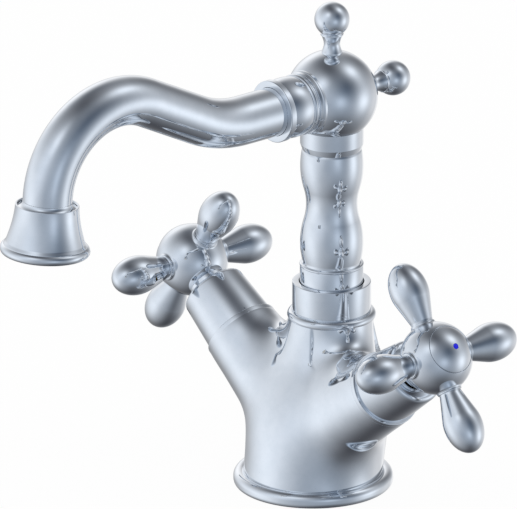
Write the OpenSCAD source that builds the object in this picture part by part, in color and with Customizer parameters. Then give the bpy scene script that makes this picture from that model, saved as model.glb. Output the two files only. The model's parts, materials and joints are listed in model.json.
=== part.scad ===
// Basin mixer tap with two cross handles and a swivel spout, in millimetres.
// Origin: centre of the foot's underside. +Z is up, the spout points to -Y, cold is at +X.

/* [Foot and body] */
// Outer radius of the foot flange
foot_r = 27; // [26:0.5:30]
// Height of the foot flange
foot_h = 5; // [4.6:0.1:5.4]
// Radius of the flange's lower edge
foot_rim = 1.9; // [1.5:0.1:2.4]
// Radius of the flange's upper edge
foot_edge = 2.3; // [2:0.1:2.6]
// Radius of the body above the flange
trunk_r = 23.3; // [22.5:0.1:23.6]
// Radius of the neck under its bead
neck_r = 14.15; // [13.75:0.1:14.95]
// Height of the neck's top face
neck_top = 60.5; // [58:0.5:63]
// Distance of the column behind the centre of the foot
column_back = 8; // [6:0.1:9]
// Radius of the bead's round edge
bead_edge = 1.5; // [1.2:0.1:1.8]
// How far the bead stands out from the neck
bead_out = 0.85; // [0.55:0.1:0.95]
// Tilt of each handle's axis from the vertical, in degrees
arm_tilt = 55; // [54:0.5:57]
// Height at which the two handle axes cross
arm_cross = 18; // [17:0.1:19]
// Distance from that crossing to an arm's end face
arm_len = 46.3; // [45.5:0.2:48.1]
// Radius of an arm at its end face
arm_r = 12.95; // [12.75:0.1:13.35]
// Growth of an arm's radius for each millimetre towards the trunk
arm_taper = 0.075; // [0.05:0.005:0.09]
// Softness of the blend between arms and trunk
blend = 7.5; // [5.5:0.5:9]
// Softness of the blend where the neck meets the arms
neck_blend = 15; // [11:0.5:16]

/* [Water ways and fixings] */
// Tapping radius of the two hose sockets under the foot
hose_r = 4.5; // [4.2:0.1:4.8]
// Depth of the thread in a hose socket
hose_depth = 10; // [8:0.5:12]
// Distance of each hose socket from the centre
hose_x = 9; // [8.5:0.1:9.5]
// Tapping radius of the hole for the fixing stud
stud_r = 3.4; // [2.6:0.1:4]
// Depth of that hole
stud_depth = 16; // [12:0.5:18]
// Distance of that hole behind the centre
stud_y = 12; // [11.5:0.5:14]
// Radius of the inner water ways
way_r = 3; // [2.5:0.1:3.4]
// Outer and inner radius of the sealing ring under the foot
seal_out = 23.8; // [23:0.1:24.2]
seal_in = 20.6; // [20:0.1:21.4]
// Thickness of that ring
seal_h = 2; // [1.5:0.1:2.4]

/* [Swivel] */
// Radius of the column's stem in the neck
stem_r = 8.5; // [8:0.1:9]
// Running clearance of the stem, on the radius
run_gap = 0.06; // [0.03:0.01:0.09]
// Clearance between pieces that are fitted and stay, on the radius
fit_gap = 0.04; // [0.02:0.01:0.08]
// Depth of the stem below the neck's top face
stem_len = 14; // [13:0.5:16]
// Radius of the water way up the column
bore_r = 6; // [5:0.1:6.4]
// Outer radius of the swivel collar
collar_r = 13.3; // [13:0.05:13.6]
// Height of the collar above the neck
collar_h = 10.3; // [9:0.1:13]
// Depth of the collar's spigot in the neck
spigot_h = 6; // [5.6:0.1:6.6]
// Thickness of the collar's inner shoulder
shoulder_h = 2; // [1.5:0.1:2.5]
// Thickness of the glide ring on that shoulder
glide_h = 0.9; // [0.7:0.1:1.2]
// Thickness of the wire of the stem's sealing rings
oring_t = 2.2; // [1.8:0.1:2.4]

/* [Column and head] */
// Radius of the column's foot ring
ring_r = 10.7; // [10.3:0.1:10.8]
// Height of that ring above the collar
ring_show = 5.6; // [3.5:0.1:6.5]
// Radius of the column's two swellings
bulge_r = 10.65; // [10.25:0.05:11]
// Radius of the waist between them
waist_r = 8.65; // [8.35:0.05:9.2]
// Height of the lower swelling above the foot ring
bulge_rise = 8.3; // [7.8:0.1:9]
// Distance between the swellings
bulge_pitch = 27.4; // [26.5:0.1:28]
// Length of the column above its foot ring
column_len = 41.6; // [41:0.1:43]
// Radius of the collar under the ball
head_r = 10.7; // [10.5:0.1:11.1]
// Height of the ball's centre above the column
ball_rise = 19; // [18.5:0.1:20]
// Radius of the ball
ball_r = 15.5; // [15:0.1:16.2]
// Radius of the balls on the finials
knob_r = 5.95; // [5.5:0.05:6.5]
// Distance of those balls from the centre of the head
knob_reach = 26.95; // [26.75:0.1:28.05]
// Least radius of a finial's neck
finial_waist = 2.75; // [2.55:0.1:2.95]

/* [Spout] */
// Outer radius of the spout tube
tube_r = 8.36; // [8.1:0.02:8.5]
// Wall of the tube
tube_wall = 1.4; // [1:0.1:1.8]
// Level run from the centre of the head to the first bend
run_out = 39.6; // [36:0.2:42]
// Angle at which the tube rises, in degrees
rise_angle = 26.8; // [22:0.2:30]
// Radius of the first bend
rise_bend = 43.8; // [38:0.2:55]
// Straight run between the bends
rise_run = 24.5; // [15:0.5:30]
// Radius of the second bend
drop_bend = 29.6; // [27:0.2:34]
// Angle of the outlet below the level, in degrees
drop_angle = 86; // [84:0.5:90]
// Straight run from that bend to the bell's lip
drop_run = 1.8; // [1:0.1:3]
// How far the ferrule's front ring stands out from the tube
ferrule_step = 2.29; // [2.2:0.01:2.5]
// Distance from the head's centre to the ferrule's front face
ferrule_len = 26.5; // [26:0.1:28]

/* [Outlet bell] */
// Height of the bell
bell_h = 17.3; // [16.5:0.1:18]
// How far the bell's top lip stands out from the tube
bell_step = 2.39; // [2.35:0.01:2.7]
// Radius of the bell's lower bead
bell_r = 15.15; // [14.95:0.1:15.55]
// Radius of the bead's round edge
bell_edge = 1.7; // [1.5:0.1:1.9]
// Radius of the thread for the aerator
aerator_r = 11.5; // [11.2:0.1:11.8]
// Radius of the holes in the aerator
hole_r = 0.8; // [0.6:0.05:0.95]

/* [Bonnets and cartridges] */
// Height of a bonnet above the arm's end face
bonnet_h = 18.5; // [17.8:0.1:18.6]
// Radius of a bonnet at the arm
bonnet_r = 12.3; // [12:0.1:12.5]
// Radius of a bonnet at its outer end
bonnet_end = 11.2; // [11:0.05:11.6]
// Radius of a bonnet's rounded edge
bonnet_edge = 1.9; // [1.5:0.1:2.2]
// Thickness of a bonnet's end
bonnet_top = 2; // [1.6:0.1:2.4]
// Radius of a cartridge's thread
cart_r = 9; // [8.8:0.1:9.3]
// Depth of a cartridge in its arm
cart_depth = 21; // [20:0.2:22]
// Radius of the ceramic discs
disc_r = 7; // [6.8:0.1:7.2]
// Thickness of a ceramic disc
disc_h = 2.5; // [2:0.1:2.8]
// Thickness of the rubber seat
seat_h = 1.8; // [1.4:0.1:2]
// Radius of a spindle
spindle_r = 4; // [3.7:0.1:4.2]

/* [Handles] */
// Distance of a hub's centre from its arm's end face
hub_rise = 31.3; // [31:0.1:32]
// Radius of a hub
hub_r = 12.3; // [12.1:0.1:12.6]
// Space between a hub and its bonnet
hub_gap = 0.6; // [0.4:0.1:0.8]
// Radius of a hub's neck
hub_neck = 6.8; // [6.6:0.1:7.6]
// Distance of a handle bulb's centre from the axis
bulb_reach = 24.6; // [24:0.1:26]
// Radius of a handle bulb
bulb_r = 6.65; // [6.25:0.1:6.95]
// Half the length of a handle bulb along its arm
bulb_long = 9.55; // [9.05:0.1:9.95]
// Radius of a handle arm at its root
root_r = 4.15; // [4:0.05:4.4]
// Radius of the collar between a handle arm and the hub
lug_r = 4.25; // [4.1:0.05:4.5]
// Radius of an index cap
cap_r = 8.3; // [7.9:0.1:8.4]
// Height of an index cap's top above the hub's centre
cap_top = 12.45; // [12.35:0.1:13.35]
// Radius of the coloured dot
dot_r = 0.85; // [0.6:0.05:1.2]

/* [Hidden] */
$fn = 96;
chrome = [0.80, 0.83, 0.87];
brass = [0.78, 0.66, 0.38];
ceramic = [0.93, 0.92, 0.88];
rubber = [0.12, 0.12, 0.13];
steel = [0.62, 0.64, 0.66];
nylon = [0.90, 0.89, 0.84];
cold = 1;
hot = -1;

// Points of an arc in a plane, from one angle to another
function arc(centre, r, from, to, steps = 8) =
    [for (i = [0 : steps]) let (a = from + (to - from) * i / steps) centre + r * [cos(a), sin(a)]];

// Smooth step from 0 to 1
function ease(t) = let (u = max(0, min(1, t))) u * u * (3 - 2 * u);

// Solid of revolution from [radius, height] points
module turned(points) {
    rotate_extrude() polygon(points);
}

// Ring between two radii and two heights
module ring(r_out, r_in, from, to) {
    translate([0, 0, from]) difference() {
        cylinder(r = r_out, h = to - from);
        translate([0, 0, -1]) cylinder(r = r_in, h = to - from + 2);
    }
}

// Places a piece on the axis of one handle, measured from the crossing of the axes
module on_arm(side) {
    translate([0, 0, arm_cross]) rotate([0, side * arm_tilt, 0]) children();
}

// Places a piece on the column's axis
module on_column() {
    translate([0, column_back, 0]) children();
}

// The body's skin: two arms, a trunk and a neck, blended by one smooth rule.
// A point's gap is negative inside, so a ray from the crossing finds the skin by halving.
lean_from = 14;
line_power = 0.85;
taper_power = 1.1;
soft_from = 2 * arm_cross;
soft_to = neck_top - 6.5;
centre = [0, 0, arm_cross];
skin_sides = 40;
half_sides = skin_sides / 2;
skin_top = neck_top - bead_edge;
skin_foot = foot_rim * 0.6;
skin_arm = arm_len - 1.6;
ray_steps = 17;
// The four ends of the skin: neck, cold arm, foot and hot arm, by their angle from the vertical
end_angle = [0, arm_tilt, 180, 360 - arm_tilt, 360];
end_rings = [6, 8, 3, 8];
ring_start = [0, 6, 14, 17];

function lean(z, power) = ease(pow(max(0, (z - lean_from) / (neck_top - lean_from)), power));
function trunk_y(z) = column_back * lean(z, line_power);
function trunk_rad(z) = trunk_r + (neck_r - trunk_r) * lean(z, taper_power);
function arm_rad(s) = arm_r + arm_taper * (arm_len - s);
function softness(z) = blend + (neck_blend - blend) * ease((z - soft_from) / (soft_to - soft_from));
function soft_min(a, b, soft) = min(a, b) - pow(max(soft - abs(a - b), 0), 2) / (4 * soft);
function trunk_gap(p) = norm([p.x, p.y - trunk_y(p.z)]) - trunk_rad(p.z);
function arm_gap(p, side) =
    let (x = side * p.x, z = p.z - arm_cross,
         along = max(0, x * sin(arm_tilt) + z * cos(arm_tilt)),
         across = norm([x - along * sin(arm_tilt), p.y, z - along * cos(arm_tilt)]))
    across - arm_rad(along);
function skin_gap(p) =
    let (soft = softness(p.z))
    soft_min(soft_min(arm_gap(p, cold), arm_gap(p, hot), soft), trunk_gap(p), soft);
function reach(way, near, far, steps) =
    let (mid = (near + far) / 2)
    steps == 0 ? mid
    : skin_gap(centre + mid * way) < 0 ? reach(way, mid, far, steps - 1)
    : reach(way, near, mid, steps - 1);
function on_skin(way) = centre + reach(way, 2, 2 * (neck_top + foot_r), ray_steps) * way;
function unit(v) = v / norm(v);

// The rays in each plane that halves the angle between two neighbouring ends
function seam_way(k, i) =
    let (middle = (end_angle[k] + end_angle[k + 1]) / 2,
         spread = (end_angle[k + 1] - end_angle[k]) / 2,
         turn = 180 * i / half_sides - 90,
         rise = asin(sin(turn) * sin(atan2(tan(spread), cos(turn)))))
    [sin(middle) * cos(rise), sin(rise), cos(middle) * cos(rise)];
function edge_way(p, j) = j <= half_sides ? seam_way(p, j) : seam_way((p + 3) % 4, skin_sides - j);

// The rim of each end's flat face
function rim_centre(p) =
    p == 0 ? [0, trunk_y(skin_top), skin_top]
    : p == 2 ? [0, trunk_y(skin_foot), skin_foot]
    : centre + skin_arm * [sin(end_angle[p]), 0, cos(end_angle[p])];
function rim_rad(p) =
    p == 0 ? trunk_rad(skin_top) : p == 2 ? trunk_rad(skin_foot) : arm_rad(skin_arm);
function rim_point(p, j) =
    let (turn = 360 * j / skin_sides)
    rim_centre(p) + rim_rad(p) * [sin(turn) * cos(end_angle[p]), -cos(turn), -sin(turn) * sin(end_angle[p])];
function ring_point(p, r, j) =
    r == 0 ? rim_point(p, j)
    : let (t = r / end_rings[p], from = unit(rim_point(p, j) - centre))
      on_skin(unit(from * (1 - t) + edge_way(p, j) * t));

seam_points = [for (k = [0 : 3]) for (i = [1 : half_sides - 1]) on_skin(seam_way(k, i))];
ring_points = [for (p = [0 : 3]) for (r = [0 : end_rings[p] - 1]) for (j = [0 : skin_sides - 1])
    ring_point(p, r, j)];
skin_points = concat([on_skin([0, -1, 0]), on_skin([0, 1, 0])], seam_points, ring_points);
first_ring = 2 + len(seam_points);

function seam_index(k, i) = i <= 0 ? 0 : i >= half_sides ? 1 : 2 + k * (half_sides - 1) + i - 1;
function skin_index(p, r, turn) =
    let (j = turn % skin_sides)
    r < end_rings[p] ? first_ring + (ring_start[p] + r) * skin_sides + j
    : j <= half_sides ? seam_index(p, j) : seam_index((p + 3) % 4, skin_sides - j);
skin_faces = concat(
    [for (p = [0 : 3]) [for (j = [0 : skin_sides - 1]) skin_index(p, 0, skin_sides - 1 - j)]],
    [for (p = [0 : 3]) for (r = [0 : end_rings[p] - 1]) for (j = [0 : skin_sides - 1])
        [skin_index(p, r, j), skin_index(p, r + 1, j + 1), skin_index(p, r + 1, j)]],
    [for (p = [0 : 3]) for (r = [0 : end_rings[p] - 1]) for (j = [0 : skin_sides - 1])
        [skin_index(p, r, j), skin_index(p, r, j + 1), skin_index(p, r + 1, j + 1)]]);

module skin() {
    polyhedron(skin_points, skin_faces);
}

// The foot flange, a turned ring with a round rim and a valley inside it
valley = 0.6;
module foot() {
    turned(concat(
        [[0, 0]],
        arc([foot_r - foot_rim, foot_rim], foot_rim, -90, 0),
        arc([foot_r - foot_edge, foot_h - foot_edge], foot_edge, 0, 125, 12),
        [[trunk_r - 0.5, foot_h - valley], [0, foot_h - valley]]));
}

// The bead round the top of the neck
bead_c = neck_r + bead_out - bead_edge;
module bead() {
    on_column() turned(concat(
        [[0, skin_top - bead_edge]],
        arc([bead_c, skin_top], bead_edge, -90, 90),
        [[0, neck_top]]));
}

// The flat lip where a bonnet sits on an arm
lip_out = 0.15;
lip_r = arm_r + lip_out;
module arm_lip() {
    turned([[0, arm_len - 2.4], [lip_r - 0.3, arm_len - 2.4], [lip_r, arm_len - 2.1],
            [lip_r, arm_len - 0.3], [lip_r - 0.3, arm_len], [0, arm_len]]);
}

// Sizes along a handle's axis, from the crossing of the axes
cart_foot = arm_len - cart_depth;
seat_foot = cart_foot - seat_h;
disc_foot = cart_foot + 0.2;
moving_foot = disc_foot + disc_h;
drive_foot = moving_foot + disc_h;
drive_top = drive_foot + 3.5;
hub_c = arm_len + hub_rise;
bonnet_out = arm_len + bonnet_h;
gland_r = spindle_r + 1.9;
cart_bore = cart_r + fit_gap;

// Sizes up the column's axis
socket_foot = neck_top - stem_len - 13;
spigot_r = stem_r + 2.85;
clip_h = 1.2;
clip_top = neck_top - 0.1;
clip_r = stem_r + 1.2;
shelf = neck_top + shoulder_h;
column_foot = shelf + glide_h + run_gap;
collar_top = neck_top + collar_h;
ring_top = collar_top + ring_show;
column_top = ring_top + column_len;
ball_z = column_top + ball_rise;
mix_z = socket_foot + 5.5;
mix_end = cart_foot * sin(arm_tilt) - 2;

module body() {
    color(chrome) difference() {
        union() {
            skin();
            foot();
            bead();
            for (side = [cold, hot]) on_arm(side) arm_lip();
        }
        // Socket for the column and the collar's spigot
        on_column() {
            translate([0, 0, socket_foot]) cylinder(r = stem_r + run_gap, h = neck_top);
            translate([0, 0, neck_top - spigot_h]) cylinder(r = spigot_r + fit_gap, h = neck_top);
        }
        // Cartridge seats and the ways from the hose sockets
        for (side = [cold, hot]) {
            on_arm(side) {
                translate([0, 0, seat_foot]) cylinder(r = cart_bore, h = arm_len);
                translate([0, 0, hose_x]) cylinder(r = way_r, h = arm_len / 2);
            }
            translate([side * hose_x, 0, -1]) cylinder(r = hose_r, h = hose_depth + 1);
            translate([side * hose_x, 0, 0]) cylinder(r = way_r, h = arm_cross + hose_x / tan(arm_tilt));
            // Mixing way from the cartridge to the column's socket
            translate([0, column_back, mix_z]) rotate([0, 90, atan2(-column_back, side * mix_end)])
                cylinder(r = way_r, h = norm([column_back, mix_end]));
        }
        translate([0, stud_y, -1]) cylinder(r = stud_r, h = stud_depth + 1);
        // Groove for the sealing ring
        ring(seal_out + fit_gap, seal_in - fit_gap, -1, seal_h + fit_gap);
    }
}

module base_seal() {
    color(rubber) ring(seal_out, seal_in, 0, seal_h);
}

module swivel_collar() {
    color(chrome) on_column() turned([
        [spigot_r, neck_top - spigot_h + fit_gap], [spigot_r, neck_top],
        [collar_r - 0.35, neck_top], [collar_r - 0.35, neck_top + 0.5], [collar_r, neck_top + 0.6],
        [collar_r, collar_top - 0.25], [collar_r - 0.25, collar_top],
        [ring_r + 0.55, collar_top], [ring_r + 0.35, collar_top - 0.2],
        [ring_r + 0.35, shelf], [stem_r + 0.3, shelf], [stem_r + 0.3, neck_top],
        [clip_r + 0.4, neck_top], [clip_r + 0.4, neck_top - spigot_h + fit_gap]]);
}

module glide_ring() {
    color(nylon) on_column() ring(ring_r, stem_r + 0.2, shelf, shelf + glide_h);
}

// The column: stem with its grooves, foot ring, bead and two swellings
groove_gap = 1.2;
groove_low = neck_top - stem_len + groove_gap;
groove_high = groove_low + oring_t + groove_gap;
groove_r = stem_r - oring_t * 0.8;
swell_turn = 2 * atan((bulge_r - waist_r) / (bulge_pitch / 2));
swell_sum = bulge_pitch / 2 / sin(swell_turn);
swell_big = swell_sum * 0.6;
swell_small = swell_sum - swell_big;
low_bulge = ring_top + bulge_rise;
high_bulge = low_bulge + bulge_pitch;
column_neck = ring_top + 1.8;
tail_r = stem_r - 1.1;
tail_h = 6;
module column() {
    color(chrome) on_column() turned(concat(
        [[bore_r, neck_top - stem_len], [stem_r - 0.4, neck_top - stem_len],
         [stem_r, neck_top - stem_len + 0.4], [stem_r, groove_low], [groove_r, groove_low],
         [groove_r, groove_low + oring_t], [stem_r, groove_low + oring_t],
         [stem_r, groove_high], [groove_r, groove_high],
         [groove_r, groove_high + oring_t], [stem_r, groove_high + oring_t],
         [stem_r, clip_top - clip_h], [stem_r - 0.9, clip_top - clip_h],
         [stem_r - 0.9, clip_top], [stem_r, clip_top],
         [stem_r, column_foot], [ring_r - 0.3, column_foot], [ring_r, column_foot + 0.3],
         [ring_r, ring_top - 0.2]],
        arc([ring_r - 0.35, ring_top + 0.5], 0.5, -60, 90),
        arc([bulge_r - swell_big, low_bulge], swell_big, asin((column_neck - low_bulge) / swell_big), swell_turn),
        arc([waist_r + swell_small, (low_bulge + high_bulge) / 2], swell_small, 180 + swell_turn, 180 - swell_turn),
        arc([bulge_r - swell_big, high_bulge], swell_big, -swell_turn, asin((column_top - 0.5 - high_bulge) / swell_big)),
        [[head_r - 0.75, column_top], [tail_r, column_top], [tail_r, column_top + tail_h],
         [bore_r, column_top + tail_h]]));
}

module column_orings() {
    color(rubber) on_column() for (z = [groove_low, groove_high])
        ring(stem_r, groove_r + fit_gap, z + fit_gap, z + oring_t - fit_gap);
}

module column_circlip() {
    color(steel) on_column() difference() {
        ring(clip_r, stem_r - 0.9 + fit_gap, clip_top - clip_h + fit_gap, clip_top - fit_gap);
        translate([0, 0, clip_top - clip_h - 1]) linear_extrude(clip_h + 2)
            polygon([[0, 0], [20, 4], [20, -4]]);
    }
}

module head_collar() {
    color(chrome) on_column() difference() {
        turned([[tail_r + fit_gap, column_top], [head_r - 0.75, column_top],
                [head_r, column_top + 2.2], [head_r, column_top + 9], [tail_r + fit_gap, column_top + 9]]);
        translate([0, 0, ball_z]) sphere(r = ball_r + fit_gap);
    }
}

// Turns a piece that is made along +Z to point forward or back from the ball's centre
module from_ball(tilt) {
    translate([0, column_back, ball_z]) rotate([tilt, 0, 0]) children();
}
forward = 90;
backward = -90;
finial_seat = sqrt(ball_r * ball_r - 3.5 * 3.5);
finial_stud = 2;
stud_len = 4.5;
nut_r = tube_r + 1.15;
nut_foot = 6.5;
spout_foot = 6;
seal_foot = 4.6;
module ball_head() {
    color(chrome) difference() {
        from_ball(0) sphere(r = ball_r);
        // Water chamber, column socket and spout socket
        from_ball(0) sphere(r = 8.6);
        on_column() translate([0, 0, column_top]) cylinder(r = tail_r + fit_gap, h = tail_h + 1);
        on_column() translate([0, 0, column_top]) cylinder(r = bore_r, h = ball_rise);
        from_ball(forward) translate([0, 0, seal_foot]) cylinder(r = nut_r + fit_gap, h = ball_r);
        // Finial seats
        for (tilt = [0, backward]) from_ball(tilt) {
            translate([0, 0, finial_seat]) cylinder(r = 6, h = 5);
            translate([0, 0, finial_seat - stud_len]) cylinder(r = finial_stud + fit_gap, h = 10);
        }
    }
}

// A finial: stud, foot, slender neck, small collar and ball
neck_from = finial_seat + 0.5;
neck_mid = finial_seat + 3.2;
collar_knob = 3.9;
knob_root = 3.7;
knob_foot = knob_reach - sqrt(knob_r * knob_r - knob_root * knob_root);
neck_to = knob_foot - 0.8;
module finial() {
    color(chrome) turned(concat(
        [[0, finial_seat - stud_len + 0.3], [finial_stud, finial_seat - stud_len + 0.3],
         [finial_stud, finial_seat], [3.5, finial_seat]],
        [for (i = [0 : 12]) let (z = neck_from + (neck_to - neck_from) * i / 12)
            [finial_waist + 0.13 * pow(abs(z - neck_mid), 1.7), z]],
        [[collar_knob, neck_to + 0.1], [collar_knob, neck_to + 0.45], [knob_root, neck_to + 0.6]],
        arc([0, knob_reach], knob_r, -asin((knob_reach - knob_foot) / knob_r), 90, 20)));
}

module top_finial() {
    from_ball(0) finial();
}

module rear_finial() {
    from_ball(backward) finial();
}

// The ferrule: threaded tail, flange on the ball, narrow ring, barrel and front ring
ferrule_r = tube_r + ferrule_step;
flange_r = ferrule_r + 0.25;
flange_foot = sqrt(ball_r * ball_r - flange_r * flange_r);
narrow_from = flange_foot + 2.9;
narrow_edge = 1;
barrel_from = narrow_from + 2.4;
barrel_to = ferrule_len - 2.3;
barrel_crest = barrel_from + 3.2;
barrel_arc = 14;
front_edge = 0.35;
module spout_ferrule() {
    color(chrome) from_ball(forward) difference() {
        turned(concat(
            [[tube_r + fit_gap, nut_foot], [nut_r, nut_foot], [nut_r, flange_foot - 1],
             [ferrule_r - 1, flange_foot - 1], [flange_r, flange_foot], [flange_r, flange_foot + 0.9],
             [ferrule_r, flange_foot + 1.2], [ferrule_r - 0.2, flange_foot + 1.6],
             [ferrule_r - 0.35, flange_foot + 2.3], [ferrule_r - 0.7, flange_foot + 2.35],
             [ferrule_r - 0.7, narrow_from - 0.2]],
            arc([ferrule_r - 0.2 - narrow_edge, narrow_from + narrow_edge], narrow_edge, -75, 75, 8),
            [[ferrule_r - 0.8, narrow_from + 2.05], [ferrule_r - 0.8, barrel_from - 0.1]],
            [for (i = [0 : 14]) let (z = barrel_from + (barrel_to - barrel_from) * i / 14)
                [ferrule_r - 0.25 - pow(z - barrel_crest, 2) / (2 * barrel_arc), z]],
            [[ferrule_r - 0.15, barrel_to + 0.05], [ferrule_r, barrel_to + 0.2]],
            arc([ferrule_r - front_edge, ferrule_len - front_edge], front_edge, 0, 90, 4),
            [[tube_r + 0.15, ferrule_len], [tube_r + fit_gap, ferrule_len - 0.15]]));
        ball_relief();
    }
}

// Keeps the ferrule's flange clear of the ball
module ball_relief() {
    difference() {
        sphere(r = ball_r + fit_gap);
        translate([0, 0, -ball_r]) cylinder(r = nut_r + fit_gap / 2, h = 3 * ball_r);
    }
}

// The spout's path: a level run, a rising bend, a straight run and a falling bend.
// A bend turns up for a radius above zero and down for one below.
// The bends are a hair thicker than the straight runs, which reach a little way into them.
turn_down = rise_angle + drop_angle;
socket_h = 7.6;
hair = 0.02;
lap = 0.2;

// Places a piece at the far end of a bend
module past_bend(r, angle) {
    translate([0, r, 0]) rotate([-sign(r) * angle, 0, 0]) translate([0, -r, 0]) children();
}

module bend(r, angle, section) {
    translate([0, r, 0]) rotate([90, 0, -90 * sign(r)])
        rotate_extrude(angle = angle) translate([abs(r), 0]) circle(r = section + hair);
}

module spout_path(section, start, end) {
    from_ball(forward) {
        translate([0, 0, start]) cylinder(r = section, h = run_out - start + lap);
        translate([0, 0, run_out]) {
            bend(rise_bend, rise_angle, section);
            past_bend(rise_bend, rise_angle) {
                translate([0, 0, -lap]) cylinder(r = section, h = rise_run + 2 * lap);
                translate([0, 0, rise_run]) {
                    bend(-drop_bend, turn_down, section);
                    past_bend(-drop_bend, turn_down) translate([0, 0, -lap])
                        cylinder(r = section, h = end + lap);
                }
            }
        }
    }
}

module spout_tube() {
    color(chrome) difference() {
        spout_path(tube_r, spout_foot, drop_run + socket_h);
        spout_path(tube_r - tube_wall, spout_foot - 1, drop_run + socket_h + 1);
    }
}

module spout_seal() {
    color(rubber) from_ball(forward) ring(tube_r, tube_r - tube_wall, seal_foot + fit_gap, spout_foot - fit_gap);
}

// Places a piece on the outlet's axis: its height is measured up from the bell's lower edge
module on_outlet() {
    from_ball(forward) translate([0, 0, run_out]) past_bend(rise_bend, rise_angle)
        translate([0, 0, rise_run]) past_bend(-drop_bend, turn_down)
            translate([0, 0, drop_run + bell_h]) rotate([180, 0, 0]) children();
}
bell_top = tube_r + bell_step;
shoulder_z = bell_h - socket_h - 1.2;
washer_h = 1.2;
cove_r = 1.9;
module outlet_bell() {
    color(chrome) on_outlet() turned(concat(
        [[aerator_r + fit_gap, 0.5], [aerator_r + 0.6, 0]],
        arc([bell_r - bell_edge, bell_edge], bell_edge, -90, 70),
        [[bell_r - 1.3, 2 * bell_edge + 0.35]],
        [for (i = [0 : 10]) let (t = i / 10)
            [bell_top + (bell_r - 2.1 - bell_top) * pow(1 - t, 1.8) + 0.35 * (1 - t),
             2 * bell_edge + 0.8 + t * (bell_h - 0.3 - 2 * bell_edge - 0.8)]],
        [[bell_top - 0.2, bell_h], [bell_top - 0.6, bell_h], [bell_top - 0.7, bell_h - 1],
         [tube_r + 1.55, bell_h - 1]],
        arc([tube_r + 0.1 + cove_r, bell_h + 1.2], cove_r, -104, -178, 10),
        [[tube_r + fit_gap, bell_h + 1.2], [tube_r + fit_gap, shoulder_z + 1.2],
         [tube_r - tube_wall, shoulder_z + 1.2], [tube_r - tube_wall, shoulder_z],
         [aerator_r + fit_gap, shoulder_z]]));
}

// Holes on rings of six, twelve and eighteen round a middle one
module hole_field(depth) {
    cylinder(r = hole_r, h = depth);
    for (row = [1 : 3]) for (i = [0 : 6 * row - 1])
        rotate(60 * i / row) translate([row * 2.5, 0, 0]) cylinder(r = hole_r, h = depth);
}

module aerator() {
    aerator_h = shoulder_z - washer_h;
    color(nylon) on_outlet() difference() {
        translate([0, 0, 0.9]) cylinder(r = aerator_r - fit_gap, h = aerator_h - 0.9);
        translate([0, 0, 2.4]) cylinder(r = aerator_r - 1.8, h = aerator_h);
        hole_field(6);
    }
}

module aerator_seal() {
    color(rubber) on_outlet()
        ring(aerator_r - fit_gap, tube_r - tube_wall, shoulder_z - washer_h + fit_gap, shoulder_z - fit_gap);
}

// A bonnet: a thin tapered cover over the cartridge
bonnet_wall = 1.6;
module bonnet() {
    color(chrome) turned(concat(
        [[bonnet_r - bonnet_wall - 0.3, arm_len], [bonnet_r - 0.25, arm_len], [bonnet_r, arm_len + 0.25]],
        arc([bonnet_end - bonnet_edge, bonnet_out - bonnet_edge], bonnet_edge, 5, 90),
        [[gland_r + fit_gap, bonnet_out], [gland_r + fit_gap, bonnet_out - bonnet_top],
         [bonnet_end - bonnet_wall - 0.2, bonnet_out - bonnet_top]]));
}

// A quarter sector between two radii, used for the ports of the discs
module sector(r_out, r_in, from, to, turn) {
    translate([0, 0, from]) rotate(turn) linear_extrude(to - from) difference() {
        intersection() {
            circle(r = r_out);
            polygon([[0, 0], [3 * r_out, r_out], [3 * r_out, 3 * r_out], [r_out, 3 * r_out]]);
        }
        circle(r = r_in);
    }
}

// The cartridge's brass housing: threaded barrel, hexagon and gland
hex_r = 9.2;
hex_h = 5.5;
gland_top = bonnet_out - 0.4;
module cartridge() {
    color(brass) difference() {
        union() {
            translate([0, 0, cart_foot]) cylinder(r = cart_r, h = cart_depth);
            translate([0, 0, arm_len]) cylinder(r = bonnet_end - bonnet_wall - 0.4, h = 1.4);
            translate([0, 0, arm_len + 1.4]) cylinder(r = hex_r, h = hex_h, $fn = 6);
            translate([0, 0, arm_len]) cylinder(r = gland_r, h = gland_top - arm_len);
        }
        translate([0, 0, cart_foot - 1]) cylinder(r = disc_r + fit_gap, h = drive_top - cart_foot + 1.2);
        cylinder(r = spindle_r + run_gap, h = 2 * arm_len);
        // Outlet windows beside the discs
        for (turn = [0, 180]) rotate(turn)
            translate([0, -2.5, moving_foot + 0.4]) cube([2 * cart_r, 5, drive_top - moving_foot - 0.4]);
    }
}

module seat_seal() {
    color(rubber) ring(cart_r - 0.3, disc_r - 2.2, seat_foot, seat_foot + seat_h);
}

module fixed_disc() {
    color(ceramic) difference() {
        translate([0, 0, disc_foot]) cylinder(r = disc_r, h = disc_h);
        for (turn = [0, 180]) sector(disc_r - 1.4, 1.4, disc_foot - 1, disc_foot + disc_h + 1, turn);
    }
}

module moving_disc() {
    color(ceramic) difference() {
        translate([0, 0, moving_foot + 0.02]) cylinder(r = disc_r - 0.1, h = disc_h - 0.04);
        for (turn = [90, 270]) sector(disc_r - 1.4, 1.4, moving_foot - 1, drive_foot + 1, turn);
    }
}

// The spindle: a driving foot, a stem with a groove and a threaded end in the hub
oring_foot = arm_len + 9;
spindle_top = hub_c + 1;
screw_r = 2;
module spindle() {
    color(brass) difference() {
        turned([[0, drive_foot], [disc_r - 0.2, drive_foot], [disc_r - 0.2, drive_top],
                [spindle_r, drive_top], [spindle_r, oring_foot], [spindle_r - 1, oring_foot],
                [spindle_r - 1, oring_foot + 2], [spindle_r, oring_foot + 2],
                [spindle_r, spindle_top], [0, spindle_top]]);
        for (turn = [90, 270]) sector(disc_r + 1, 2.5, drive_foot - 1, drive_top - 1, turn);
        translate([0, 0, hub_c - 9]) cylinder(r = screw_r + fit_gap, h = 12);
    }
}

module spindle_oring() {
    color(rubber) ring(spindle_r, spindle_r - 1 + fit_gap, oring_foot + fit_gap, oring_foot + 2 - fit_gap);
}

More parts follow.
